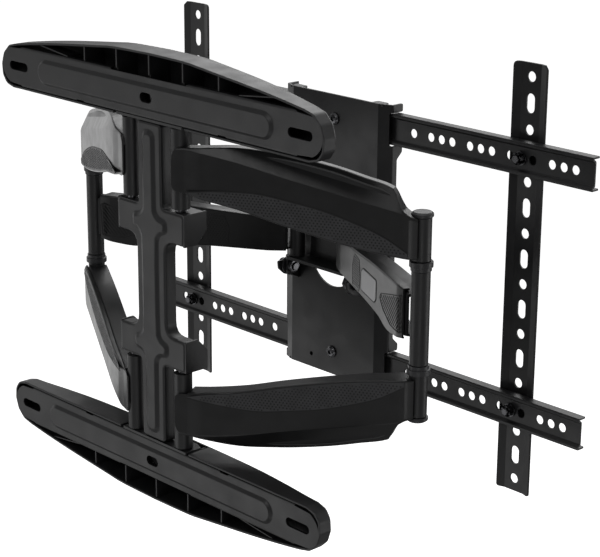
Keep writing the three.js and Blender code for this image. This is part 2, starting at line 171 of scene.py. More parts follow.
def table(rows):
    # Smooth curve through (position, value, value, ...) rows, as a function of the position.
    def look(x):
        x = min(max(x, rows[0][0]), rows[-1][0])
        k = max(i for i in range(len(rows) - 1) if rows[i][0] <= x + 1e-9)
        low, high = rows[k], rows[k + 1]
        span = high[0] - low[0]
        t = (x - low[0]) / span
        values = []
        for c in range(1, len(low)):
            def slope(i):
                if i in (0, len(rows) - 1):
                    j = 0 if i == 0 else len(rows) - 2
                    return (rows[j + 1][c] - rows[j][c]) / (rows[j + 1][0] - rows[j][0])
                left = (rows[i][c] - rows[i - 1][c]) / (rows[i][0] - rows[i - 1][0])
                right = (rows[i + 1][c] - rows[i][c]) / (rows[i + 1][0] - rows[i][0])
                return 0.0 if left * right <= 0 else 2 * left * right / (left + right)
            a, b = slope(k) * span, slope(k + 1) * span
            values.append(low[c] * (2 * t ** 3 - 3 * t ** 2 + 1) + a * (t ** 3 - 2 * t ** 2 + t)
                          + high[c] * (3 * t ** 2 - 2 * t ** 3) + b * (t ** 3 - t ** 2))
        return values
    return look


# Shells: each is (points, faces) in millimetres, closed

def sheetShell(outline, holes, rings, lines=(), loops=()):
    # rings are (inset, place) from the front face round the rim to the back face.
    margin = rings[0][0]
    borders = [offset(outline, margin)] + [offset(hole, -margin) for hole in holes]
    points, edges = [], []
    for loop in borders + [list(loop) for loop in loops]:
        start = len(points)
        points += [Vector(p) for p in loop]
        edges += [(start + i, start + (i + 1) % len(loop)) for i in range(len(loop))]
    for a, b in lines:
        edges.append((len(points), len(points) + 1))
        points += [Vector(a), Vector(b)]
    flat, _, faces, _, _, _ = delaunay_2d_cdt(points, edges, [], 0, 1e-4)
    kept = []
    for face in faces:
        middle = sum((flat[i] for i in face), Vector((0, 0))) / len(face)
        if inside(middle, borders[0]) and not any(inside(middle, hole) for hole in borders[1:]):
            loop = [flat[i] for i in face]
            kept.append(list(face) if area([tuple(p) for p in loop]) > 0 else list(reversed(face)))
    following, leading = {}, {}
    directed = {(f[i], f[(i + 1) % len(f)]) for f in kept for i in range(len(f))}
    for a, b in directed:
        if (b, a) not in directed:
            following[a] = b
            leading[b] = a
    used = sorted({i for f in kept for i in f})
    slotOf = {v: i for i, v in enumerate(used)}
    verts = [rings[0][1](*flat[v]) for v in used]
    result = [[slotOf[i] for i in f] for f in kept]
    back = len(verts)
    verts += [rings[-1][1](*flat[v]) for v in used]
    result += [[back + slotOf[i] for i in reversed(f)] for f in kept]
    outward = {}
    for v in following:
        sides = [flat[v] - flat[leading[v]], flat[following[v]] - flat[v]]
        sides = [Vector((e.y, -e.x)).normalized() for e in sides if e.length > 1e-9]
        total = sum(sides, Vector((0, 0))).normalized()
        outward[v] = total / max(total.dot(sides[0]), 0.4)
    rows = [{v: slotOf[v] for v in following}]
    for inset, place in rings[1:-1]:
        row = {}
        for v in following:
            row[v] = len(verts)
            verts.append(place(*(flat[v] + outward[v] * (margin - inset))))
        rows.append(row)
    rows.append({v: back + slotOf[v] for v in following})
    for a, b in following.items():
        for upper, lower in zip(rows, rows[1:]):
            result.append([upper[b], upper[a], lower[a], lower[b]])
    return verts, result


def rimRings(place, thickness, bevel):
    def at(depth):
        return lambda u, v: place(u, v, depth)
    return [(bevel, at(0)), (bevel * 0.3, at(bevel * 0.3)), (0, at(bevel)),
            (0, at(thickness - bevel)), (bevel * 0.3, at(thickness - bevel * 0.3)),
            (bevel, at(thickness))]


def foldedSheet(path, outline, holes=(), thickness=2.5, bevel=0.45, turnTo="xy",
                relief=None, loops=(), lines=()):
    # The path is the front skin's section. Outline and holes lie on the unrolled sheet: first
    # number along the path from its middle, second along the straight direction.
    lengths = [0.0]
    for p, q in zip(path, path[1:]):
        lengths.append(lengths[-1] + (Vector(q) - Vector(p)).length)
    lengths = [length - lengths[-1] / 2 for length in lengths]
    normals = mitres(path, closed=False)
    reach = max(abs(v) for _, v in outline) + 5

    def place(u, v, depth):
        if relief:
            depth = depth - relief(u, v)
        k = 0
        while k < len(path) - 2 and u > lengths[k + 1]:
            k += 1
        t = (u - lengths[k]) / (lengths[k + 1] - lengths[k])
        a = Vector(path[k]) + normals[k] * depth
        b = Vector(path[k + 1]) + normals[k + 1] * depth
        p = a.lerp(b, t)
        return (p.x, p.y, v) if turnTo == "xy" else (v, p.x, p.y)

    folds = [((u, -reach), (u, reach)) for u in lengths[1:-1]]
    return sheetShell(outline, holes, rimRings(place, thickness, bevel), folds + list(lines), loops)


def halfLength(path):
    return sum((Vector(q) - Vector(p)).length for p, q in zip(path, path[1:])) / 2


def flatPlate(outline, holes, start, end, across="z", bevel=0.4):
    def place(u, v, depth):
        d = start + depth
        return {"x": (d, u, v), "y": (u, d, v), "z": (u, v, d)}[across]
    return sheetShell(outline, holes, rimRings(place, end - start, bevel))


def turnedShell(profile, centre=(0.0, 0.0, 0.0), across="z", sides=40, closed=False):
    # A profile of (radius, height) turned about its axis. A closed one makes a tube.
    verts, rows = [], []
    for radius, height in profile:
        if radius < 1e-6:
            rows.append([len(verts)] * sides)
            verts.append((0.0, 0.0, height))
            continue
        rows.append(list(range(len(verts), len(verts) + sides)))
        verts += [(radius * math.cos(2 * math.pi * i / sides),
                   radius * math.sin(2 * math.pi * i / sides), height) for i in range(sides)]
    faces = []
    pairs = list(zip(rows, rows[1:])) + ([(rows[-1], rows[0])] if closed else [])
    for low, high in pairs:
        for i in range(sides):
            j = (i + 1) % sides
            face = [low[i], low[j], high[j], high[i]]
            face = [v for k, v in enumerate(face) if v not in face[:k]]
            if len(face) > 2:
                faces.append(face)
    swap = {"x": lambda p: (p[2], p[0], p[1]), "y": lambda p: (p[0], p[2], -p[1]), "z": lambda p: p}
    return [tuple(a + b for a, b in zip(swap[across](p), centre)) for p in verts], faces


def tubeShell(outer, inner, low, high, centre=(0.0, 0.0, 0.0), across="z", bevel=0.6, sides=40):
    corners = [(outer, low), (outer, high), (inner, high), (inner, low)]
    return turnedShell(rounded(corners, bevel, 2), centre, across, sides, closed=True)


def loftSheet(stations, thickness):
    # stations are (x, section) with the same number of (y, z) points, front skin outside,
    # material on the left of the section's direction.
    verts, grid = [], []
    for x, section in stations:
        normals = mitres(section, closed=False)
        outer = [(x, p[0], p[1]) for p in section]
        inner = [(x, p[0] + n.x * thickness, p[1] + n.y * thickness)
                 for p, n in zip(section, normals)]
        loop = outer + list(reversed(inner))
        grid.append(list(range(len(verts), len(verts) + len(loop))))
        verts += loop
    count = len(grid[0])
    faces = []
    for low, high in zip(grid, grid[1:]):
        for i in range(count):
            j = (i + 1) % count
            faces.append([low[i], low[j], high[j], high[i]])
    half = count // 2
    for row in (grid[0], grid[-1]):
        for i in range(half - 1):
            faces.append([row[i], row[i + 1], row[count - 2 - i], row[count - 1 - i]])
    return verts, faces


# Objects

def placedPoint(point, side=1, flip=1, pivot=(0.0, 0.0), turn=0.0):
    x, y, z = point
    px = pivot[0] + x * math.cos(turn) - y * math.sin(turn)
    py = pivot[1] + x * math.sin(turn) + y * math.cos(turn)
    return Vector((px * side, py, z * flip)) * mm


def crispNormals(mesh, smooth):
    # Flat stretches keep their own normal up to their borders, and only the bends between them
    # blend. Faces that lie in one plane are counted together.
    work = bmesh.new()
    work.from_mesh(mesh)
    work.normal_update()
    work.faces.ensure_lookup_table()
    region = [-1] * len(work.faces)
    areas = []
    for seed in work.faces:
        if region[seed.index] >= 0:
            continue
        mark = len(areas)
        region[seed.index] = mark
        total, stack = 0.0, [seed]
        while stack:
            face = stack.pop()
            total += face.calc_area()
            for edge in face.edges:
                for other in edge.link_faces:
                    if region[other.index] < 0 and other.normal.dot(seed.normal) > 0.99995:
                        region[other.index] = mark
                        stack.append(other)
        areas.append(total)
    limit = math.cos(math.radians(smooth))
    normals = []
    for face in work.faces:
        for loop in face.loops:
            total = Vector((0, 0, 0))
            for other in loop.vert.link_faces:
                if other.normal.dot(face.normal) > limit:
                    total += other.normal * (areas[region[other.index]] * 1e6) ** 2
            normals.append(total.normalized() if total.length > 1e-12 else face.normal.copy())
    work.free()
    mesh.normals_split_custom_set(normals)


def makePiece(name, shells, material, body=None, nodes=(), slot=None, smooth=32, **where):
    mesh = bpy.data.meshes.new(name)
    work = bmesh.new()
    for verts, faces in shells:
        made = [work.verts.new(placedPoint(p, **where)) for p in verts]
        for face in faces:
            try:
                work.faces.new([made[i] for i in face])
            except ValueError:
                pass
        bmesh.ops.remove_doubles(work, verts=made, dist=1e-6)
    bmesh.ops.recalc_face_normals(work, faces=work.faces)
    for face in work.faces:
        face.smooth = True
    work.to_mesh(mesh)
    work.free()
    crispNormals(mesh, smooth)
    piece = bpy.data.objects.new(name, mesh)
    bpy.context.collection.objects.link(piece)
    piece.data.materials.append(material)
    if body:
        settle(piece, body, nodes, slot)
    return piece


def settle(piece, body, nodes, slot):
    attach(piece, body)
    if nodes:
        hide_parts(*nodes)


def bothSides(build):
    for side, hand in ((1, "right"), (-1, "left")):
        build(side, hand)


def carved(piece, cutter):
    # Takes the cutter's solid out of the piece and leaves a plain mesh.
    knife = piece.modifiers.new("carve", "BOOLEAN")
    knife.operation = "DIFFERENCE"
    knife.solver = "EXACT"
    knife.object = cutter
    bpy.context.view_layer.update()
    shaped = piece.evaluated_get(bpy.context.evaluated_depsgraph_get())
    plain = bpy.data.meshes.new_from_object(shaped)
    piece.modifiers.remove(knife)
    old = piece.data
    piece.data = plain
    plain.name = piece.name
    bpy.data.meshes.remove(old)
    bpy.data.objects.remove(cutter)
    return piece


# Materials

def newMaterial(name, color, roughness, metallic=0.0):
    material = bpy.data.materials.new(name)
    material.use_nodes = True
    shader = material.node_tree.nodes["Principled BSDF"]
    shader.inputs["Base Color"].default_value = (*color, 1.0)
    shader.inputs["Roughness"].default_value = roughness
    shader.inputs["Metallic"].default_value = metallic
    return material, material.node_tree, shader


def powderCoat(name, color, roughness, grain, grainDepth, mottle=0.25):
    material, tree, shader = newMaterial(name, color, roughness)
    nodes, links = tree.nodes, tree.links
    coords = nodes.new("ShaderNodeTexCoord")
    fine = nodes.new("ShaderNodeTexNoise")
    fine.inputs["Scale"].default_value = grain
    fine.inputs["Detail"].default_value = 3.0
    broad = nodes.new("ShaderNodeTexNoise")
    broad.inputs["Scale"].default_value = grain / 40
    broad.inputs["Detail"].default_value = 4.0
    bump = nodes.new("ShaderNodeBump")
    bump.inputs["Strength"].default_value = 0.5
    bump.inputs["Distance"].default_value = grainDepth * mm
    shade = nodes.new("ShaderNodeValToRGB")
    shade.color_ramp.elements[0].position = 0.3
    shade.color_ramp.elements[0].color = (*[c * (1 - mottle) for c in color], 1)
    shade.color_ramp.elements[1].position = 0.7
    shade.color_ramp.elements[1].color = (*[c * (1 + mottle) for c in color], 1)
    gloss = nodes.new("ShaderNodeMapRange")
    gloss.inputs["From Min"].default_value = 0.3
    gloss.inputs["From Max"].default_value = 0.7
    gloss.inputs["To Min"].default_value = roughness * 0.88
    gloss.inputs["To Max"].default_value = min(1.0, roughness * 1.12)
    links.new(coords.outputs["Object"], fine.inputs["Vector"])
    links.new(coords.outputs["Object"], broad.inputs["Vector"])
    links.new(fine.outputs["Fac"], bump.inputs["Height"])
    links.new(bump.outputs["Normal"], shader.inputs["Normal"])
    links.new(broad.outputs["Fac"], shade.inputs["Fac"])
    links.new(shade.outputs["Color"], shader.inputs["Base Color"])
    links.new(broad.outputs["Fac"], gloss.inputs["Value"])
    links.new(gloss.outputs["Result"], shader.inputs["Roughness"])
    return material


def platedSteel(name, color, roughness):
    material, tree, shader = newMaterial(name, color, roughness, metallic=1.0)
    nodes, links = tree.nodes, tree.links
    coords = nodes.new("ShaderNodeTexCoord")
    cloud = nodes.new("ShaderNodeTexNoise")
    cloud.inputs["Scale"].default_value = 420.0
    cloud.inputs["Detail"].default_value = 5.0
    gloss = nodes.new("ShaderNodeMapRange")
    gloss.inputs["To Min"].default_value = roughness * 0.6
    gloss.inputs["To Max"].default_value = roughness * 1.5
    bump = nodes.new("ShaderNodeBump")
    bump.inputs["Strength"].default_value = 0.025
    bump.inputs["Distance"].default_value = 0.05 * mm
    links.new(coords.outputs["Object"], cloud.inputs["Vector"])
    links.new(cloud.outputs["Fac"], gloss.inputs["Value"])
    links.new(gloss.outputs["Result"], shader.inputs["Roughness"])
    links.new(cloud.outputs["Fac"], bump.inputs["Height"])
    links.new(bump.outputs["Normal"], shader.inputs["Normal"])
    return material


finish = {
    "steel": {"color": (0.009, 0.009, 0.0097), "roughness": 0.42},
    "barPlastic": {"color": (0.011, 0.011, 0.0118), "roughness": 0.45},
    "armPlastic": {"color": (0.0045, 0.0045, 0.0049), "roughness": 0.32},
    "trim": {"color": (0.022, 0.022, 0.024), "roughness": 0.4},
    "zone": {"color": (0.032, 0.032, 0.034), "roughness": 0.5},
    # dots: near-black painted shade for the dimples, grooves and gaps of the arm covers, which are
    # drawn as raised dots and ribbons; the stripe lines use it too
    "dots": {"color": (0.0015, 0.0015, 0.0016), "roughness": 0.6},
    "darkZinc": {"color": (0.10, 0.10, 0.105), "roughness": 0.26},
    "inlay": {"color": (0.30, 0.30, 0.31), "roughness": 0.34},
}
steelCoat = powderCoat("powderCoatedSteel", grain=1500.0, grainDepth=0.05, **finish["steel"])
barPlastic = powderCoat("mouldedBarPlastic", grain=2200.0, grainDepth=0.03, **finish["barPlastic"])
armPlastic = powderCoat("mouldedArmPlastic", grain=2600.0, grainDepth=0.02, **finish["armPlastic"])
trimPlastic = powderCoat("blackTrim", grain=2200.0, grainDepth=0.02, **finish["trim"])
zonePlastic = powderCoat("textureZone", grain=2600.0, grainDepth=0.02, **finish["zone"])
# Near-black painted shade for dimples, grooves and gaps, and the colour of the stripe lines.
dotPlastic = powderCoat("dotPlastic", grain=3000.0, grainDepth=0.01, **finish["dots"])
darkZinc = platedSteel("blackZincPlate", **finish["darkZinc"])
inlaySilver = powderCoat("silverInlay", grain=2600.0, grainDepth=0.01, mottle=0.05, **finish["inlay"])
print("materials made")


# Repeats: one shape set on every point of a mesh

def repeatTree():
    tree = bpy.data.node_groups.new("setOnPoints", "GeometryNodeTree")
    face = tree.interface
    face.new_socket("Points", in_out="INPUT", socket_type="NodeSocketGeometry")
    face.new_socket("Shape", in_out="INPUT", socket_type="NodeSocketObject")
    face.new_socket("Size", in_out="INPUT", socket_type="NodeSocketFloat")
    face.new_socket("Turn", in_out="INPUT", socket_type="NodeSocketRotation")
    face.new_socket("Turn spread", in_out="INPUT", socket_type="NodeSocketFloat")
    face.new_socket("Seed", in_out="INPUT", socket_type="NodeSocketInt")
    face.new_socket("Finish", in_out="INPUT", socket_type="NodeSocketMaterial")
    face.new_socket("Result", in_out="OUTPUT", socket_type="NodeSocketGeometry")
    start = tree.nodes.new("NodeGroupInput")
    shape = tree.nodes.new("GeometryNodeObjectInfo")
    spread = tree.nodes.new("FunctionNodeRandomValue")
    axis = tree.nodes.new("FunctionNodeAxisAngleToRotation")
    both = tree.nodes.new("FunctionNodeRotateRotation")
    both.rotation_space = "LOCAL"
    setOn = tree.nodes.new("GeometryNodeInstanceOnPoints")
    real = tree.nodes.new("GeometryNodeRealizeInstances")
    coat = tree.nodes.new("GeometryNodeSetMaterial")
    end = tree.nodes.new("NodeGroupOutput")
    negative = tree.nodes.new("ShaderNodeMath")
    negative.operation = "MULTIPLY"
    negative.inputs[1].default_value = -1.0
    link = tree.links.new
    axis.inputs["Axis"].default_value = (0, 0, 1)
    link(start.outputs["Shape"], shape.inputs["Object"])
    link(start.outputs["Turn spread"], negative.inputs[0])
    link(negative.outputs[0], spread.inputs[2])
    link(start.outputs["Turn spread"], spread.inputs[3])
    link(start.outputs["Seed"], spread.inputs["Seed"])
    link(spread.outputs[1], axis.inputs["Angle"])
    link(start.outputs["Turn"], both.inputs["Rotation"])
    link(axis.outputs["Rotation"], both.inputs["Rotate By"])
    link(start.outputs["Points"], setOn.inputs["Points"])
    link(shape.outputs["Geometry"], setOn.inputs["Instance"])
    link(both.outputs["Rotation"], setOn.inputs["Rotation"])
    link(start.outputs["Size"], setOn.inputs["Scale"])
    link(setOn.outputs["Instances"], real.inputs["Geometry"])
    link(real.outputs["Geometry"], coat.inputs["Geometry"])
    link(start.outputs["Finish"], coat.inputs["Material"])
    link(coat.outputs["Geometry"], end.inputs["Result"])
    return tree


setOnPoints = repeatTree()


def repeated(name, points, shape, material, turn=(0.0, 0.0, 0.0), size=1.0, spread=0.0, seed=7,
             smooth=40):
    # points are already placed, in metres; shape is made about the origin, axis along z.
    mesh = bpy.data.meshes.new(name + "Points")
    mesh.from_pydata([tuple(p) for p in points], [], [])
    carrier = bpy.data.objects.new(name, mesh)
    bpy.context.collection.objects.link(carrier)
    work = carrier.modifiers.new("setOnPoints", "NODES")
    work.node_group = setOnPoints
    keys = {s.name: s.identifier for s in setOnPoints.interface.items_tree if s.in_out == "INPUT"}
    work[keys["Shape"]] = shape
    work[keys["Size"]] = size
    work[keys["Turn"]] = turn
    work[keys["Turn spread"]] = spread
    work[keys["Seed"]] = seed
    work[keys["Finish"]] = material
    bpy.context.view_layer.update()
    shaped = carrier.evaluated_get(bpy.context.evaluated_depsgraph_get())
    plain = bpy.data.meshes.new_from_object(shaped)
    carrier.modifiers.remove(work)
    carrier.data = plain
    plain.name = name
    bpy.data.meshes.remove(mesh)
    if not plain.materials:
        plain.materials.append(material)
    crispNormals(plain, smooth)
    return carrier


# Wall bars

barSize = {
    "middleZ": 180.0,
    "halfHeight": 20.2,
    "thickness": 2.5,
    "straight": 206.0,
    "endReach": 25.0,
    "beadLength": 342.0,
    "beadWidth": 26.5,
    "beadSlope": 4.2,
    "beadRaise": 2.5,
    "flangeDepth": 6.0,
    "notches": (-103, 103),
    "lowGap": 54,
    "studSlot": (203.2, 30.0, 8.5),
    "middleSlot": (17.0, 9.0),
}


def barShells():
    s = barSize
    half = s["halfHeight"]
    rise = s["beadRaise"]
    deep = rise + s["flangeDepth"]
    path = rounded([(deep, half), (rise, half), (rise, -half), (deep, -half)], 2.2, 4, closed=False)
    edge = halfLength(path)
    low = half - 1.5
    turns = [math.pi * i / 24 for i in range(25)]
    arc = [(half * math.cos(t), s["straight"] + s["endReach"] * math.sin(t)) for t in turns]
    gap = s["lowGap"]
    top = [(edge, -197)]
    for middle in s["notches"]:
        top += [(edge, middle - 8), (low, middle - 5), (low, middle + 5), (edge, middle + 8)]
    top += [(edge, 197), (low, 200)]
    bottom = [(-low, 200), (-edge, 190), (-edge, gap + 3), (-low, gap), (-low, -gap), (-edge, -gap - 3),
              (-edge, -190), (-low, -200)]
    rightEnd = [(u, v) for u, v in arc if abs(u) < low - 0.4]
    leftEnd = [(-u, -v) for u, v in arc if abs(u) < low - 0.4]
    outline = [(low, -200)] + top + rightEnd + bottom + leftEnd
    holes = [longSlot(s["studSlot"][1], s["studSlot"][2], 0, x, tall=True)
             for x in (-s["studSlot"][0], s["studSlot"][0])]
    holes.append(longSlot(*s["middleSlot"], 0, 0, tall=True))
    length, width, slope = s["beadLength"], s["beadWidth"], s["beadSlope"]
    loops = [longSlot(length + 2 * d, width + 2 * d, 0, 0, tall=True, steps=12)
             for d in (0, -slope * 0.25, -slope * 0.5, -slope * 0.75, -slope)]

    def relief(u, v):
        along = max(abs(v) - (length - width) / 2, 0)
        depth = width / 2 - math.hypot(along, u)
        t = min(max(depth / slope, 0), 1)
        return rise * eased(t)

    sheet = foldedSheet(path, outline, holes, s["thickness"], 0.5, "yz", relief, loops)
    verts = [(x, y, z + s["middleZ"]) for x, y, z in sheet[0]]
    return [(verts, sheet[1])]


for level, flip in (("upper", 1), ("lower", -1)):
    makePiece(f"{level}WallBar", barShells(), steelCoat, "wall_plate", [f"{level}_wall_bar"],
              "black_steel", flip=flip)
print("wall bars made")

# Bar covers

coverSize = {
    "bow": [(0, 221.5), (51, 220.6), (78, 218), (105, 215.2), (144, 211), (182, 206.2)],
    "end": [(206, 202.6), (219, 199.6), (228.5, 191), (232.5, 179.5), (231.5, 168), (225.5, 160),
            (214, 157.2)],
    "shelf": 157.3,
    "depth": [(0, 32), (60, 31.5), (120, 29.6), (165, 25.5), (200, 21), (232, 18), (240, 17.5)],
    "wall": 2.2,
    "edge": 2.8,
    "front": 2.6,
    "ribs": [-97, -48, 0, 48, 97],
    "ribWidth": 1.8,
    "brace": [(124, 200.6), (168, 205.6)],
}


def coverOutline():
    skin = table(coverSize["bow"] + coverSize["end"][:1])
    bow = [(float(x), skin(x)[0]) for x in range(0, 205, 12)]
    end = rounded([bow[-1]] + coverSize["end"] + [(200, coverSize["shelf"])], 9, 3, closed=False)[1:]
    right = bow + end
    return list(reversed(right + [(-x, z) for x, z in reversed(right) if x > 0.1]))


def coverShells():
    s = coverSize
    depth = table(s["depth"])

    def at(front=0.0, back=None):
        if back is None:
            return lambda x, z: (x, front, z)
        return lambda x, z: (x, max(depth(abs(x))[0] - back, front), z)

    e, w, f = s["edge"], s["wall"], s["front"]
    rings = [(e, at(0, 0)), (e * 0.62, at(0, e * 0.08)), (e * 0.3, at(0, e * 0.3)),
             (e * 0.08, at(0, e * 0.62)), (0, at(0, e)), (0, at(f + 0.5)), (0.5, at(f)),
             (w - 0.5, at(f)), (w, at(f + 0.5)), (w, at(f + 0.6, e)),
             (w + 0.5, at(f + 0.6, w + 0.8)), (e, at(f + 0.6, w))]
    lines = [((x, 100), (x, 260)) for x in range(-228, 229, 12)]
    outline = coverOutline()
    shells = [sheetShell(outline, [], rings, lines)]
    skin = table(s["bow"] + s["end"][:1])
    foot = s["shelf"] + 1
    for x in s["ribs"]:
        back = depth(abs(x))[0] - 1.0
        top = skin(abs(x))[0] - 1
        rib = [(6, foot), (back, foot), (back, top), (4.4, top), (4.4, 200.5), (6, 200.5)]
        shells.append(flatPlate(rib, [], x - s["ribWidth"] / 2, x + s["ribWidth"] / 2, "x", 0.3))
    for side in (1, -1):
        a, b = Vector(s["brace"][0]), Vector(s["brace"][1])
        across = Vector((-(b - a).y, (b - a).x)).normalized() * 0.6
        brace = [tuple(a - across), tuple(b - across), tuple(b + across), tuple(a + across)]
        shells.append(flatPlate([(x * side, z) for x, z in brace], [], 4.6, 20, "y", 0.25))
    return shells


def makeCover(level, flip):
    piece = makePiece(f"{level}BarCover", coverShells()[:1], barPlastic, flip=flip)
    notch = flatPlate([(-52, 150), (52, 150), (52, 166), (-52, 166)], [], -4, 28, "y", 0.2)
    carved(piece, makePiece("notchCutter", [notch], barPlastic, flip=flip))
    ribs = makePiece("coverRibs", coverShells()[1:], barPlastic, flip=flip)
    work = bmesh.new()
    work.from_mesh(piece.data)
    work.from_mesh(ribs.data)
    work.to_mesh(piece.data)
    work.free()
    bpy.data.objects.remove(ribs)
    crispNormals(piece.data, 32)
    settle(piece, "wall_plate", [f"{level}_bar_cover"], "bar_cover")


for level, flip in (("upper", 1), ("lower", -1)):
    makeCover(level, flip)
print("bar covers made")

# Wall column: one pressed tray whose outline widens into four ears

columnSize = {
    "depth": 16.0,
    "sheet": 2.0,
    "edgeRadius": 2.9,
    "front": 2.5,
    "raise": 2.5,
    "slope": 6.2,
    "right": [(21, 20), (21, 46.5), (48.6, 46.5), (48.6, 76.9), (17, 76.9), (17, 157)],
    "rightRound": [8, 14, 4.4, 4.4, 5, 4.4],
    "raised": [(13.8, 22), (14.2, 50), (26.5, 53), (26.5, 68.5), (10.6, 70.5), (10.6, 151)],
    "raisedRound": [10, 13, 7, 7, 13, 10.5],
    "earReach": 48.6,
    "earSide": [(3.4, 46.1), (18.5, 46.1), (30.5, 58.5), (30.5, 77.4), (3.4, 77.4)],
    "earShelf": [(16, 3.6), (48.6, 3.6), (48.6, 28), (30, 28), (16, 22)],
    "shelfZ": (74.9, 77.3),
    "endPlate": [(-48, 2.6), (48, 2.6), (48, 22), (38, 26), (-38, 26), (-48, 22)],
    "endZ": (157.2, 160.0),
    "tab": [(-42, 158), (42, 158), (42, 186), (36, 191), (-36, 191), (-42, 186)],
    "tabY": (5.4, 7.8),
}
wallPin = [(0, 71.5), (5.7, 71.5), (5.7, 73.7), (5, 74), (5, 163.2), (0, 163.2)]


def fourfold(quarter, radii, steps=4):
    right = [(x, -z) for x, z in reversed(quarter)] + quarter
    rounds = list(reversed(radii)) + radii
    return rounded(right + [(-x, -z) for x, z in right], rounds * 2, steps)


def depthInside(x, z, loop):
    if not inside((x, z), loop):
        return 0.0
    best = 1e9
    for p, q in zip(loop, loop[1:] + loop[:1]):
        ex, ez = q[0] - p[0], q[1] - p[1]
        t = min(max(((x - p[0]) * ex + (z - p[1]) * ez) / max(ex * ex + ez * ez, 1e-9), 0), 1)
        best = min(best, math.hypot(x - p[0] - t * ex, z - p[1] - t * ez))
    return best


def columnShells():
    s = columnSize
    outline = fourfold(s["right"], s["rightRound"])
    raised = fourfold(s["raised"], s["raisedRound"])
    slope, high = s["slope"], s["raise"]

    def skin(depth):
        def place(x, z):
            t = min(depthInside(x, z, raised) / slope, 1)
            return (x, s["front"] + depth - high * eased(t), z)
        return place

    def wall(depth):
        return lambda x, z: (x, s["front"] + depth, z)

    r, w, d = s["edgeRadius"], s["sheet"], s["depth"] - s["front"]
    rings = [(r, skin(0)), (r * 0.55, wall(r * 0.1)), (r * 0.25, wall(r * 0.3)),
             (r * 0.06, wall(r * 0.62)), (0, wall(r)), (0, wall(d - 0.4)), (0.4, wall(d)),
             (w - 0.4, wall(d)), (w, wall(d - 0.4)), (w, wall(w + 1.4)), (w + 0.5, wall(w + 0.4)),
             (r, skin(w))]
    loops = [offset(raised, slope * k) for k in (0, 0.2, 0.4, 0.6, 0.8, 1.0)]
    shells = [sheetShell(outline, [], rings, [], loops)]
    reach = s["earReach"]
    side = rounded(s["earSide"], [1, 2, 2, 1, 1], 4)
    shelf = rounded(s["earShelf"], [0, 0, 1, 6, 2], 4)
    bores = [ring(linkage["boreRadius"], x * linkage["pivotX"], linkage["wallPivotY"]) for x in (1, -1)]
    for x in (1, -1):
        for z in (1, -1):
            for verts, faces in (flatPlate(side, [], reach - 2.0, reach + 0.5, "x", 0.5),
                                 flatPlate(shelf, bores[:1], *s["shelfZ"], "z", 0.5)):
                shells.append(([(a * x, b, c * z) for a, b, c in verts], faces))
    for flip in (1, -1):
        endPlate = rounded(s["endPlate"], [1, 1, 4, 6, 6, 4], 4)
        tabShape = rounded(s["tab"], 3, 3)
        tabHoles = [longSlot(22, 12, 0, 180), ring(3, -30, 170, 12), ring(3, 30, 170, 12)]
        for verts, faces in (flatPlate(endPlate, bores, *s["endZ"]),
                             flatPlate(tabShape, tabHoles, *s["tabY"], "y")):
            shells.append(([(a, b, c * flip) for a, b, c in verts], faces))
    return shells


makePiece("wallColumn", columnShells(), steelCoat, "wall_plate", ["wall_column"], "black_steel")
pinShape = rounded(wallPin, 0.5, 3, closed=False)
for hand, side in (("Right", 1), ("Left", -1)):
    for level, flip in (("upper", 1), ("lower", -1)):
        makePiece(f"{level}WallPin{hand}",
                  [turnedShell(pinShape, (linkage["pivotX"], linkage["wallPivotY"], 0))], darkZinc,
                  "wall_plate", [f"{level}_wall_pin_{hand.lower()}"], "zinc", side=side, flip=flip)
print("wall column made")

# Arms. Drawn along x from the pivot nearer the middle, wall side towards -y.

wallArm = {
    "edges": [(8, 97.5, 137), (25, 95.5, 139), (60, 89.5, 141), (100, 79.5, 138), (145, 69.5, 131),
              (178, 63.2, 122.5), (203, 59.5, 115), (209, 58.5, 100), (217, 57.5, 92.5), (226, 57, 91)],
    "cover": [(-5, 106, 129, 131, -10.3), (-4.4, 102, 133, 135, -10.4), (-3, 100, 135.6, 137.6, -10.6),
              (0, 98.8, 137.6, 139.6, -10.9), (8, 98, 138.5, 140.5, -11.5), (25, 94, 137, 142, -14),
              (60, 88, 131.5, 144.5, -15),
              (100, 78, 122.5, 141.5, -15), (145, 68, 113, 134.5, -15), (178, 62, 106, 126.5, -15),
              (205, 58.5, 100.5, 118.8, -15), (210, 58, 99.5, 110, -15), (215, 57.5, 98, 101.5, -15),
              (222, 57, 94, 96.5, -14.6), (229, 57, 92, 94, -12)],
    "face": -15.0,
    "innerHub": (80.5, 156.5),
    "outerHub": (53.8, 94.0),
    "web": -10.0,
    "back": 10.0,
    "sheet": 2.5,
    "coverWall": 1.6,
}
armDetail = {
    "zone": [(8, 100), (46, 104), (75, 105), (113, 100), (141, 95), (169, 87), (197, 77), (221, 63)],
    "zoneEdge": 1.6,
    "grooveWidth": 1.1,
    "dotPitch": (3.5, 2.5),
    "dotRadius": 0.85,
    "stripes": {"middle": 188, "pitch": 4.2, "lean": 0.9},
    "tvStripes": [(215, -19), (217, 17), (196, 12), (162, 3), (157, -2), (168, -11), (190, -19)],
    "tvInlay": [(101, -12), (141, -12), (146, -8), (146, 10), (106, 10), (101, 6)],
    "tvDots": [(72, -16), (92, -17), (96, -2), (92, 15), (77, 17), (71, 4)],
}
tvArm = {
    "face": -14.5,
    "innerHub": (-23, 23),
    "outerHub": (-44.2, 44.2),
    "edges": [(8, -16, 17), (80, -16, 19), (150, -19.5, 22), (180, -25, 22.5), (214, -22, 23),
              (222, -20, 20)],
    "cover": [(9, -16.5, 16.5, 17.5, -12.5), (30, -17.8, 17.6, 18.8, -14),
              (80, -18.5, 19.5, 21, -14.5), (150, -22, 23, 24.5, -14.5),
              (180, -27.5, 23.5, 25, -14.5), (205, -25.5, 23.7, 25.3, -14.5),
              (218, -23, 23, 24.5, -12.5)],
}


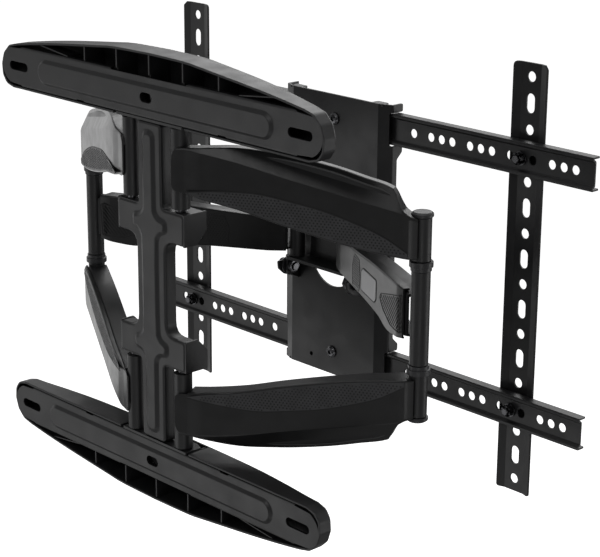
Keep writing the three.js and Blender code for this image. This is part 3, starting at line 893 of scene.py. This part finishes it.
def channelShells(edges, hubs):
    s = wallArm
    edge = table(edges)
    first, last = edges[0][0], edges[-1][0]
    stations = []
    for k in range(29):
        x = first + (last - first) * k / 28
        bottom, top = edge(x)
        corners = [(s["back"], top), (s["web"], top), (s["web"], bottom), (s["back"], bottom)]
        stations.append((x, rounded(corners, 2.6, 3, closed=False)))
    shells = [loftSheet(stations, s["sheet"])]
    for x, low, high in hubs:
        shells.append(tubeShell(linkage["hubRadius"], linkage["boreRadius"], low, high, (x, 0, 0),
                                bevel=0.7))
    return shells


def coverSections(rows, lip, count=56):
    edge = table(rows)
    first, last = rows[0][0], rows[-1][0]
    stations = []
    even = {first + (last - first) * k / count for k in range(count + 1)}
    steps = sorted(even | {row[0] for row in rows})
    for x in steps:
        bottom, foot, top, front = edge(x)
        bevel = min(front + max((top - foot) * 0.42, 0.8), lip - 1.2)
        corners = [(lip, top), (bevel, top), (front, foot), (front, bottom), (-10.2, bottom)]
        stations.append((x, rounded(corners, [0, 2.2, 3.0, 1.6, 0], 4, closed=False)))
    return stations


def armCoverShells(rows, lip=1.0):
    return [loftSheet(coverSections(rows, lip), wallArm["coverWall"])]


def ribbonShell(line, width, start, end, closed=False):
    # A thin raised strip along a line of (x, z), from y = start to y = end.
    count = len(line)
    sections = []
    for k, (x, z) in enumerate(line):
        before = line[k - 1] if k or closed else line[k]
        after = line[(k + 1) % count] if k < count - 1 or closed else line[k]
        dx, dz = after[0] - before[0], after[1] - before[1]
        size = math.hypot(dx, dz) or 1.0
        nx, nz = -dz / size * width / 2, dx / size * width / 2
        sections.append([(x + nx, start, z + nz), (x + nx, end, z + nz), (x - nx, end, z - nz),
                         (x - nx, start, z - nz)])
    verts = [p for section in sections for p in section]
    faces = []
    for k in range(count if closed else count - 1):
        a, b = 4 * k, 4 * ((k + 1) % count)
        faces += [(a + i, a + (i + 1) % 4, b + (i + 1) % 4, b + i) for i in range(4)]
    if not closed:
        faces += [(3, 2, 1, 0), tuple(4 * (count - 1) + i for i in range(4))]
    return verts, faces


def dotSpots(zone, pitchX, pitchZ, keep, where, face):
    xs, zs = [x for x, _ in zone], [z for _, z in zone]
    shrunk = offset(zone, keep)
    spots = []
    row, z = 0, min(zs) + keep
    while z < max(zs):
        x = min(xs) + keep + (pitchX / 2 if row % 2 else 0)
        while x < max(xs):
            if inside((x, z), shrunk):
                spots.append(placedPoint((x, face, z), **where))
            x += pitchX
        z += pitchZ
        row += 1
    return spots


def turnedBy(where):
    # How a shape drawn along z is turned to stand out of a cover's face.
    lie = Matrix.Rotation(where["turn"] * where["side"], 3, "Z") @ Matrix.Rotation(math.pi / 2, 3, "X")
    return tuple(lie.to_euler())


def smoothLine(points, count):
    value = table(points)
    first, last = points[0][0], points[-1][0]
    line = [(x, value(x)[0]) for x in (first + (last - first) * k / count for k in range(count + 1))]
    for _ in range(6):
        between = [(b[0], (a[1] + 2 * b[1] + c[1]) / 4) for a, b, c in zip(line, line[1:], line[2:])]
        line = [line[0]] + between + [line[-1]]
    return line


dotShape = makePiece("dotShape", [flatPlate(ring(1.0, 0, 0, 6), [], -0.05, 0.28, "z", 0.08)], steelCoat)


def armPlace(side, flip, part):
    pivotY, turn = (linkage["wallPivotY"], foldTurn) if part == "wall" else (headPivotY, -foldTurn)
    return {"side": side, "flip": flip, "pivot": (linkage["pivotX"], pivotY), "turn": turn}


def wallZone():
    low = table(wallArm["cover"])
    line = smoothLine(armDetail["zone"], 60)
    under = [(x, low(x)[0] + armDetail["zoneEdge"]) for x, _ in reversed(line)]
    return line, line + under


def makeWallDetail(level, flip, side, hand):
    d = armDetail
    where = armPlace(side, flip, "wall")
    line, zone = wallZone()
    face = wallArm["face"]
    body = f"{hand}_wall_arms"
    title = level + "Arm" + hand.title()
    makePiece(title + "Zone", [flatPlate(zone[::-1], [], face - 0.22, face + 0.4, "y", 0.06)],
              zonePlastic, body, **where)
    # A near-black raised ribbon along the zone's edge: painted shade standing for the moulded groove.
    makePiece(title + "Groove", [ribbonShell(line, d["grooveWidth"], face - 0.4, face + 0.3)],
              dotPlastic, body, **where)
    # Raised near-black dots: painted shade standing for the dimples of the textured zone.
    spots = dotSpots(zone, *d["dotPitch"], 1.5, where, face - 0.2)
    dots = repeated(title + "Dots", spots, dotShape, dotPlastic, turnedBy(where), d["dotRadius"])
    settle(dots, body, (), None)


def makeTvDetail(side, hand):
    d = armDetail
    where = armPlace(side, 1, "tv")
    face = tvArm["face"]
    body = f"{hand}_tv_arm"
    title = "tvArm" + hand.title()
    stripeZone = rounded(d["tvStripes"], [3, 3, 8, 4, 3, 8, 8], 4)
    shells = [ribbonShell(stripeZone, 1.0, face - 0.35, face + 0.3, True)]
    stripe = d["stripes"]
    for k in range(-9, 12):
        start = stripe["middle"] + k * stripe["pitch"]
        line = [(start + t * stripe["lean"], t) for t in range(-20, 21)]
        runs = [p for p in line if inside(p, offset(stripeZone, 1.2))]
        if len(runs) > 2:
            shells.append(ribbonShell(runs, 0.9, face - 0.3, face + 0.3))
    makePiece(title + "Stripes", shells, dotPlastic, body, **where)
    inlay = rounded(d["tvInlay"], [2, 3, 3, 2, 3, 3], 4)
    makePiece(title + "Inlay", [flatPlate(inlay, [], face - 0.5, face + 0.3, "y", 0.2)], inlaySilver,
              body, **where)
    # A near-black raised ribbon round the inlay: painted shade standing for the gap between inlay and
    # cover.
    frame = ribbonShell(offset(inlay, -0.7), 1.1, face - 0.35, face + 0.3, True)
    makePiece(title + "InlayGap", [frame], dotPlastic, body, **where)
    zone = rounded(d["tvDots"], 2, 3)
    makePiece(title + "Zone", [flatPlate(zone, [], face - 0.2, face + 0.4, "y", 0.06),
                               ribbonShell(zone, 0.9, face - 0.45, face + 0.3, True)],
              armPlastic, body, **where)
    # Raised near-black dots: painted shade standing for the dimples of the textured zone.
    spots = dotSpots(zone, 3.2, 2.3, 1.2, where, face - 0.18)
    dots = repeated(title + "Dots", spots, dotShape, dotPlastic, turnedBy(where), d["dotRadius"])
    settle(dots, body, (), None)


def makeArms(side, hand):
    for level, flip in (("upper", 1), ("lower", -1)):
        where = armPlace(side, flip, "wall")
        hubs = [(0, *wallArm["innerHub"]), (linkage["armLength"], *wallArm["outerHub"])]
        makePiece(f"{level}WallArm{hand.title()}", channelShells(wallArm["edges"], hubs), steelCoat,
                  f"{hand}_wall_arms", [f"{level}_wall_arm_{hand}"], "black_steel", **where)
        makePiece(f"{level}ArmCover{hand.title()}", armCoverShells(wallArm["cover"]), armPlastic,
                  f"{hand}_wall_arms", [f"{level}_arm_cover_{hand}"], "arm_cover", smooth=40, **where)
        makeWallDetail(level, flip, side, hand)
    where = armPlace(side, 1, "tv")
    hubs = [(0, *tvArm["innerHub"]), (linkage["armLength"], *tvArm["outerHub"])]
    makePiece(f"tvArm{hand.title()}", channelShells(tvArm["edges"], hubs), steelCoat,
              f"{hand}_tv_arm", [f"tv_arm_{hand}"], "black_steel", **where)
    makePiece(f"tvArmCover{hand.title()}", armCoverShells(tvArm["cover"], lip=-6.0), armPlastic,
              f"{hand}_tv_arm", [f"tv_arm_cover_{hand}"], "arm_cover", smooth=40, **where)
    makeTvDetail(side, hand)


bothSides(makeArms)
bpy.data.objects.remove(dotShape)
print("arms made")

# Elbows

elbow = {"bushRadius": 11.0, "bushLow": 44.5, "bushHigh": 53.5, "capRadius": 10.2}


def makeElbow(side, hand):
    where = {"side": side, "pivot": (elbowX, elbowY)}
    body = f"{hand}_wall_arms"
    pin = rounded([(0, -96.6), (5, -96.6), (5, 96.6), (0, 96.6)], 0.6, 3, closed=False)
    makePiece(f"elbowPin{hand.title()}", [turnedShell(pin)], darkZinc, body, [f"elbow_pin_{hand}"],
              "zinc", **where)
    low, high, wide = elbow["bushLow"], elbow["bushHigh"], elbow["bushRadius"]
    bore = linkage["boreRadius"]
    bush = rounded([(bore, low), (wide - 1.3, low), (wide - 1.3, low + 3.4), (wide, low + 3.8),
                    (wide, high - 0.4), (wide - 0.4, high), (bore, high)], 0.4, 2)
    cap = rounded([(0, 97), (5.3, 97), (5.3, 94.4), (elbow["capRadius"] - 0.5, 94.4),
                   (elbow["capRadius"], 95), (elbow["capRadius"], 97.4), (8.2, 99.0), (0, 99.5)],
                  [0, 0, 0.2, 0.4, 0.3, 0.8, 1.5, 0], 3, closed=False)
    for level, flip in (("upper", 1), ("lower", -1)):
        makePiece(f"{level}ElbowBush{hand.title()}", [turnedShell(bush, closed=True)], trimPlastic,
                  body, [f"{level}_elbow_bush_{hand}"], "black_trim", flip=flip, **where)
        makePiece(f"{level}ElbowCap{hand.title()}", [turnedShell(cap)], trimPlastic, body,
                  [f"{level}_elbow_cap_{hand}"], "black_trim", flip=flip, **where)


bothSides(makeElbow)
print("elbows made")

# Head

head = {
    "plateZ": 23.3,
    "sheet": 3.5,
    "halfWidth": 46.0,
    "front": 216.0,
    "back": 236.5,
    "tongueBack": 241.0,
    "tongueHalf": 28.0,
    "tilt": (226.0, -36.0),
    "tiltBore": 4.4,
    "nutRadius": 7.0,
    "lugFoot": 243.7,
}


def headShells():
    s = head
    low, high = -s["plateZ"] - s["sheet"], s["plateZ"] + s["sheet"]
    shells = []
    wide, tongue, tip = s["halfWidth"], s["tongueHalf"], s["tongueBack"] - 1
    front, back = s["front"], s["back"]
    plan = rounded([(wide, front + 4), (wide, back), (tongue + 3, back), (tongue, tip), (-tongue, tip),
                    (-tongue - 3, back), (-wide, back), (-wide, front + 4), (-wide + 5, front),
                    (wide - 5, front)], [3, 2, 1, 1, 1, 1, 2, 3, 4, 4], 4)
    holes = [ring(linkage["boreRadius"], x * linkage["pivotX"], headPivotY) for x in (1, -1)]
    for start, end in ((low, -s["plateZ"]), (s["plateZ"], high)):
        shells.append(flatPlate(plan, holes, start, end, "z", 0.6))
    wall = rounded([(-28, low + 0.5), (28, low + 0.5), (28, high - 0.5), (-28, high - 0.5)], 2, 3)
    shells.append(flatPlate(wall, [], 238, 241, "y", 0.6))
    y, z = s["tilt"]
    ear = rounded([(front + 4, low + 1), (back, low + 1), (back, z - 5), (y + 5, z - 10),
                   (y - 5, z - 10), (front + 4, z - 5)], [0, 0, 3, 4, 4, 3], 4)
    for start in (-wide, wide - 3):
        shells.append(flatPlate(ear, [ring(s["tiltBore"], y, z, 20)], start, start + 3, "x", 0.5))
    return shells


makePiece("headBracket", headShells(), steelCoat, "head", ["head_bracket"], "black_steel")


def makeHead(side, hand):
    s = head
    top = s["plateZ"] + s["sheet"]
    y, z = s["tilt"]
    bore = s["tiltBore"]
    title = hand.title()
    pin = rounded([(0, -28.2), (5, -28.2), (5, top + 0.2), (8, top + 0.3), (8, 30.2), (6.5, 31),
                   (0, 31)], 0.4, 2, closed=False)
    makePiece(f"headPin{title}", [turnedShell(pin, (linkage["pivotX"], headPivotY, 0))], darkZinc,
              "head", [f"head_pin_{hand}"], "zinc", side=side)
    pad = rounded([(bore, 46.3), (9.5, 46.3), (9.5, 49), (bore, 49)], 0.4, 2)
    makePiece(f"tiltPad{title}", [turnedShell(pad, (0, y, z), "x", closed=True)], trimPlastic,
              "head", [f"tilt_pad_{hand}"], "black_trim", side=side)
    bolt = rounded([(0, 36), (3.6, 36), (4, 36.5), (4, 52.3), (5.6, 52.3), (5.6, 57.4), (5.0, 58),
                    (3.2, 58), (3.0, 55.2), (0, 55.2)],
                   [0, 0.2, 0.2, 0.2, 0.2, 0.3, 0.2, 0.1, 0.1, 0], 2, closed=False)
    makePiece(f"tiltBolt{title}", [turnedShell(bolt, (0, y, z), "x", 32)], darkZinc,
              "head", [f"tilt_bolt_{hand}"], "zinc", side=side)
    sides = rounded(hexagon(s["nutRadius"], y, z), 0.6, 2)
    nut = flatPlate(sides, [ring(4.3, y, z)], 38, 42.7, "x", 0.6)
    makePiece(f"tiltNut{title}", [nut], darkZinc, "head", [f"tilt_nut_{hand}"], "zinc", side=side)
    foot = s["lugFoot"]
    lugShape = rounded([(213, -30.5), (foot, -30.5), (foot, -54), (234, -50), (222, -46), (214, -39)],
                       [2, 0.5, 1, 3, 4, 3], 4)
    lug = flatPlate(lugShape, [ring(bore, y, z, 20)], 49.3, 52, "x", 0.5)
    footShape = rounded([(49.3, -30.5), (62, -30.5), (62, -54), (49.3, -54)], [0, 3, 3, 0], 4)
    makePiece(f"tiltLug{title}", [lug, flatPlate(footShape, [], foot - 2.5, foot, "y", 0.5)], steelCoat,
              "tv_frame", [f"tilt_lug_{hand}"], "black_steel", side=side)


bothSides(makeHead)
print("head made")

# Television frame

plateSize = {
    "halfWidth": 76.0,
    "halfHeight": 150.0,
    "front": 244.0,
    "step": 5.5,
    "sheet": 2.5,
    "window": (106.0, 66.0),
}
railSize = {
    "z": 125.0,
    "halfHeight": 16.0,
    "halfLength": 322.0,
    "front": 251.0,
    "depth": 10.0,
    "webSetback": 3.0,
    "sheet": 2.0,
    "holeRadius": 4.4,
    "holePitch": 13.65,
}
stripSize = {
    "x": 236.35,
    "halfHeight": 213.0,
    "halfWidth": 20.0,
    "front": 261.3,
    "rise": 2.7,
    "sheet": 2.3,
    "holeRadius": 4.85,
    "holePitch": 25.0,
    "slotLength": 18.5,
}


def centrePlateShells():
    s = plateSize
    w, f = s["halfWidth"], s["front"]
    path = rounded(mirroredPath([(-w, f + 20), (-w, f + s["step"]), (-61, f)]), 2.4, 4, closed=False)
    edge = halfLength(path)
    narrow = edge - 7.2
    shoulder = edge - 20 + 2.2
    half = s["halfHeight"]
    gapLow, gapHigh = railSize["z"] - 16.8, railSize["z"] + 16.8
    corner = [(narrow, 0), (narrow, 94), (edge, 101), (edge, gapLow), (shoulder, gapLow),
              (shoulder, gapHigh), (edge, gapHigh), (edge, half), (shoulder - 3, half)]
    right = [(u, -v) for u, v in reversed(corner[1:])] + corner[1:]
    outline = right + [(-u, -v) for u, v in right]
    roundness = [0, 1.5, 3, 2, 2, 2, 2, 3, 3, 3, 3, 2, 2, 2, 2, 3, 1.5, 0]
    outline = rounded(outline, (roundness * 2)[:len(outline)], 3)
    holes = [longSlot(*s["window"], 0, 0, tall=True, steps=20), ring(2.2, -31, -135, 14)]
    holes += [ring(3.4, 0, z, 16) for z in (-railSize["z"], railSize["z"])]
    shells = [foldedSheet(path, outline, holes, s["sheet"], 0.5, "xy")]
    for flip in (1, -1):
        for x in (-58, 58):
            tab = rounded([(x - 8, f + 1), (x + 8, f + 1), (x + 8, f + 11), (x - 8, f + 11)],
                          [0, 0, 3, 3], 3)
            low, high = sorted((flip * half, flip * (half - s["sheet"])))
            shells.append(flatPlate(tab, [], low, high, "z", 0.4))
    return shells


makePiece("centrePlate", centrePlateShells(), steelCoat, "tv_frame", ["centre_plate"], "black_steel")


def railHoleSpots():
    s = railSize
    spots = [100.0]
    for outer in (150.0, 200.0, 250.0, 300.0):
        spots += [outer, outer - s["holePitch"], outer - 2 * s["holePitch"]]
    return spots + [-x for x in spots]


def railShells():
    s = railSize
    top, front, web = s["halfHeight"], s["front"], s["front"] + s["webSetback"]
    back = front + s["depth"]
    corners = [(back, top), (front, top), (front, top - 3.4), (web, top - 5.2),
               (web, 5.2 - top), (front, 3.4 - top), (front, -top), (back, -top)]
    path = rounded(corners, [0, 1.3, 1.2, 1.6, 1.6, 1.2, 1.3, 0], 3, closed=False)
    edge = halfLength(path)
    length = s["halfLength"]
    outline = rounded([(-edge, -length), (edge, -length), (edge, length), (-edge, length)], 1.5, 3)
    holes = [ring(s["holeRadius"], 0, x, 20) for x in railHoleSpots()] + [ring(3.4, 0, 0, 16)]
    sheet = foldedSheet(path, outline, holes, s["sheet"], 0.45, "yz")
    return [([(x, y, z + s["z"]) for x, y, z in sheet[0]], sheet[1])]


for level, flip in (("top", 1), ("bottom", -1)):
    makePiece(f"{level}Rail", railShells(), steelCoat, "tv_frame", [f"{level}_rail"], "black_steel",
              flip=flip)


def stripShells():
    s = stripSize
    web = s["front"] + s["rise"]
    w, half = s["halfWidth"], s["halfHeight"]
    path = rounded([(-w, s["front"]), (-11.5, web), (11.5, web), (w, s["front"])], [0, 3, 3, 0], 3,
                   closed=False)
    edge = halfLength(path)
    outline = rounded([(-edge, -half), (edge, -half), (edge, half - 4), (edge - 4, half),
                       (-edge, half)], [3, 3, 1, 2, 5], 4)
    holes = []
    for row in range(-8, 9):
        z = row * s["holePitch"]
        if row % 2 and abs(row) != 5:
            holes.append(longSlot(s["slotLength"], 2 * s["holeRadius"], 0, z, tall=True))
        else:
            holes.append(ring(s["holeRadius"], 0, z, 24))
    sheet = foldedSheet(path, outline, holes, s["sheet"], 0.5, "xy")
    return [([(x + s["x"], y, z) for x, y, z in sheet[0]], sheet[1])]


def makeStrip(side, hand):
    makePiece(f"strip{hand.title()}", stripShells(), steelCoat, "tv_frame", [f"strip_{hand}"],
              "black_steel", side=side)


bothSides(makeStrip)
print("television frame made")

# Bolts, nuts and screws of the frame, each a shape repeated on points

fixing = {"shank": 3.6, "head": 7.5, "nutRadius": 5.8, "washer": 6.8}
boltSpots = [Vector((x * stripSize["x"], 0, z * railSize["z"])) * mm for x in (1, -1) for z in (1, -1)]
towardsWall = (math.pi / 2, 0.0, 0.0)    # turns a shape's z axis to -y


def frameFixings():
    boltNodes = [f"{level}_rail_bolt_{hand}" for level in ("top", "bottom")
                 for hand in ("left", "right")]
    nutNodes = [name.replace("bolt", "nut") for name in boltNodes]
    back = -(stripSize["front"] + 7.5)
    shank, wide = fixing["shank"], fixing["head"]
    bolt = rounded([(0, back), (wide, back), (wide, back + 1.9), (shank, back + 2.0), (shank, -245.4),
                    (3.0, -244.8), (0, -244.8)], [0, 0.5, 0.3, 0.1, 0.3, 0.2, 0], 3, closed=False)
    shape = makePiece("boltShape", [turnedShell(bolt, sides=28)], steelCoat)
    bolts = repeated("railBolts", boltSpots, shape, darkZinc, towardsWall)
    settle(bolts, "tv_frame", boltNodes, "zinc")
    bpy.data.objects.remove(shape)
    nut = flatPlate(rounded(hexagon(fixing["nutRadius"]), 0.5, 2), [ring(3.9, 0, 0, 20)],
                    -251.9, -247, "z", 0.7)
    washer = tubeShell(fixing["washer"], 4.0, -253.6, -252.1, bevel=0.3, sides=32)
    shape = makePiece("nutShape", [nut, washer], steelCoat)
    nuts = repeated("railNuts", boltSpots, shape, darkZinc, towardsWall, spread=0.5, seed=4)
    settle(nuts, "tv_frame", nutNodes, "zinc")
    bpy.data.objects.remove(shape)
    screw = rounded([(0, -258.8), (3, -258.8), (3, -243.7), (6.4, -243.7), (6.4, -242.6), (4.6, -240.9),
                     (2.3, -240.5), (2.0, -242.2), (0, -242.2)],
                    [0, 0.2, 0.1, 0.2, 0.4, 0.8, 0.1, 0.1, 0], 3, closed=False)
    shape = makePiece("screwShape", [turnedShell(screw, sides=28)], steelCoat)
    spots = [Vector((0, 0, z * railSize["z"])) * mm for z in (1, -1)]
    screws = repeated("plateScrews", spots, shape, darkZinc, towardsWall, spread=0.4, seed=2)
    settle(screws, "tv_frame", ["top_plate_screw", "bottom_plate_screw"], "zinc")
    bpy.data.objects.remove(shape)


frameFixings()
print("frame fixings made")

# Light, floor and camera

stage = {
    "floorZ": -1.4,
    "floorReach": 400.0,
    "floorGlow": 0.85,
    "worldStrength": 0.25,
    "lightsAim": (0.0, 0.1, 0.0),
    "cameraAt": (1.2955, -1.0358, 0.5226),
    "cameraForward": (-0.6916, 0.6582, -0.2975),
    "cameraRight": (0.6870, 0.7266, 0.0063),
    "lens": 110.0,
}
lights = {
    "leftLight": {"at": (-2.6, 0.4, -0.2), "size": (2.0, 2.4), "power": 14},
    "backLight": {"at": (-1.2, 2.4, 1.9), "size": (3.0, 2.0), "power": 46},
    "frontLeftLight": {"at": (-1.9, -2.0, -1.1), "size": (1.5, 1.8), "power": 10},
    "overheadLight": {"at": (0.0, 0.1, 2.3), "size": (2.0, 1.6), "power": 10},
    "frontHighLight": {"at": (0.3, -2.2, 1.7), "size": (1.5, 0.6), "power": 8},
    "lowFrontLight": {"at": (0.35, -1.7, -1.6), "size": (1.6, 0.5), "power": 2.6},
    "frontRightLight": {"at": (1.7, -1.4, -0.6), "size": (0.5, 1.0), "power": 2.2},
    "rightLight": {"at": (2.4, 2.2, -0.5), "size": (1.2, 1.4), "power": 11},
    "rearLight": {"at": (0.6, 3.0, 0.7), "size": (1.8, 1.4), "power": 16},
}


def softLight(name, at, size, power):
    data = bpy.data.lights.new(name, "AREA")
    data.shape = "RECTANGLE"
    data.size, data.size_y = size
    data.energy = power
    light = bpy.data.objects.new(name, data)
    light.location = at
    aim = Vector(stage["lightsAim"]) - Vector(at)
    light.rotation_euler = aim.to_track_quat("-Z", "Y").to_euler()
    bpy.context.collection.objects.link(light)


def makeStage():
    for name, light in lights.items():
        softLight(name, **light)
    mesh = bpy.data.meshes.new("floor")
    reach, z = stage["floorReach"], stage["floorZ"]
    corners = [(-reach, -reach, z), (reach, -reach, z), (reach, reach, z), (-reach, reach, z)]
    mesh.from_pydata(corners, [], [(0, 1, 2, 3)])
    floor = bpy.data.objects.new("floor", mesh)
    bpy.context.collection.objects.link(floor)
    pale, _, shader = newMaterial("paleFloor", (0.9, 0.9, 0.9), 0.9)
    shader.inputs["Emission Color"].default_value = (1, 1, 1, 1)
    shader.inputs["Emission Strength"].default_value = stage["floorGlow"]
    mesh.materials.append(pale)
    floor.visible_glossy = False
    floor.visible_diffuse = False
    world = bpy.data.worlds.new("softRoom")
    world.use_nodes = True
    background = world.node_tree.nodes["Background"]
    background.inputs["Color"].default_value = (1, 1, 1, 1)
    background.inputs["Strength"].default_value = stage["worldStrength"]
    bpy.context.scene.world = world
    bpy.context.scene.view_settings.view_transform = "Standard"


def makeCamera():
    data = bpy.data.cameras.new("viewCamera")
    data.lens = stage["lens"]
    data.sensor_width = 36.0
    data.clip_end = 1000.0
    camera = bpy.data.objects.new("viewCamera", data)
    forward = Vector(stage["cameraForward"]).normalized()
    right = Vector(stage["cameraRight"])
    right = (right - forward * right.dot(forward)).normalized()
    up = right.cross(forward)
    turn = Matrix((right, up, -forward)).transposed()
    camera.matrix_world = Matrix.Translation(stage["cameraAt"]) @ turn.to_4x4()
    bpy.context.collection.objects.link(camera)
    bpy.context.scene.camera = camera


makeStage()
makeCamera()
print("stage made")
